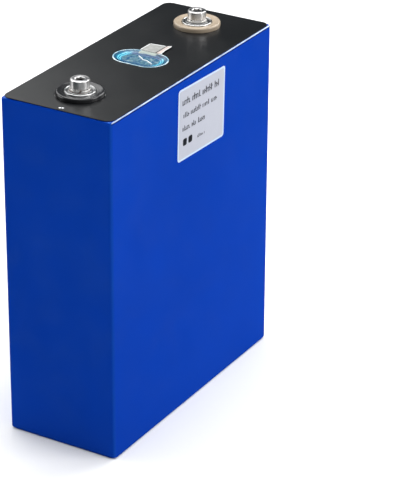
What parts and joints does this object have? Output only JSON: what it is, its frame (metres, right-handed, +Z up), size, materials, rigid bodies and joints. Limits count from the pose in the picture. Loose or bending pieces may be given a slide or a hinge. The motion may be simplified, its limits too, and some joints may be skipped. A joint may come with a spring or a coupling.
{
  "type": "prismatic battery cell",
  "caption": "Rectangular rechargeable battery cell in a blue film wrap with a black top sheet, a screw terminal at each end and a safety vent between them.",
  "frame": {"origin": "middle of the underside of the upright cell", "axes": "+Z up through the terminals, +X along the wide faces towards the positive terminal, +Y through the thickness away from the label"},
  "size_m": [0.1738, 0.0718, 0.2163],
  "materials": {
    "blue_film": "glossy blue PET insulation film over the can",
    "black_sheet": "satin black insulating cover sheet",
    "label_paper": null,
    "vent_film": "glossy clear cyan-blue protective film",
    "tab_grey": "satin light grey film tab with a white border",
    "beige_plastic": "moulded beige engineering plastic",
    "black_plastic": "moulded black engineering plastic",
    "nickel_plated_steel": "bright nickel-plated steel",
    "aluminium": "turned bare aluminium",
    "copper": "bare copper",
    "white_plastic": "white polypropylene sheet",
    "seal_rubber": "black sealing elastomer",
    "cathode_foil": "dark coated electrode foil"
  },
  "bodies": {
    "cell": {"bottom_film": "blue_film", "bottom_support_plate": "white_plastic", "can": "aluminium", "fill_port_cap": "aluminium", "fill_port_plug": "seal_rubber", "insulating_bag": "white_plastic", "jelly_roll_1": "cathode_foil", "jelly_roll_2": "cathode_foil", "lid_plate": "aluminium", "negative_current_collector": "copper", "negative_foil_tab_1": "copper", "negative_foil_tab_2": "copper", "negative_gasket": "seal_rubber", "negative_insulator_ring": "black_plastic", "negative_lower_insulator": "black_plastic", "negative_terminal_block": "aluminium", "negative_terminal_pole": "copper", "positive_current_collector": "aluminium", "positive_foil_tab_1": "aluminium", "positive_foil_tab_2": "aluminium", "positive_gasket": "seal_rubber", "positive_insulator_ring": "beige_plastic", "positive_lower_insulator": "black_plastic", "positive_terminal_block": "aluminium", "positive_terminal_pole": "aluminium", "rating_label": "label_paper", "top_cover_sheet": "black_sheet", "vent_disc": "aluminium", "vent_guard_film": "vent_film", "wrap_film": "blue_film"},
    "vent_tab": {"pull_tab": "tab_grey"},
    "positive_washer": {"positive_spring_washer": "nickel_plated_steel"},
    "positive_screw": {"positive_screw": "nickel_plated_steel"},
    "negative_washer": {"negative_spring_washer": "nickel_plated_steel"},
    "negative_screw": {"negative_screw": "nickel_plated_steel"}
  },
  "joints": [
    {"name": "pull_tab_lift", "type": "hinge", "parent": "cell", "child": "vent_tab", "pos_m": [0.0103, 0, 0.2072], "axis": [0, -1, 0], "range_deg": [0, 120]},
    {"name": "positive_screw_lift", "type": "slide", "parent": "cell", "child": "positive_washer", "axis": [0, 0, 1], "range_m": [0, 0.009]},
    {"name": "positive_screw_turn", "type": "hinge", "parent": "positive_washer", "child": "positive_screw", "pos_m": [0.062, 0, 0.211], "axis": [0, 0, 1], "range_deg": [0, 3240]},
    {"name": "negative_screw_lift", "type": "slide", "parent": "cell", "child": "negative_washer", "axis": [0, 0, 1], "range_m": [0, 0.009]},
    {"name": "negative_screw_turn", "type": "hinge", "parent": "negative_washer", "child": "negative_screw", "pos_m": [-0.062, 0, 0.211], "axis": [0, 0, 1], "range_deg": [0, 3240]}
  ],
  "couplings": [
    {"joint": "positive_screw_lift", "follows": "positive_screw_turn", "m_per_rad": 0.00015915},
    {"joint": "negative_screw_lift", "follows": "negative_screw_turn", "m_per_rad": 0.00015915}
  ]
}
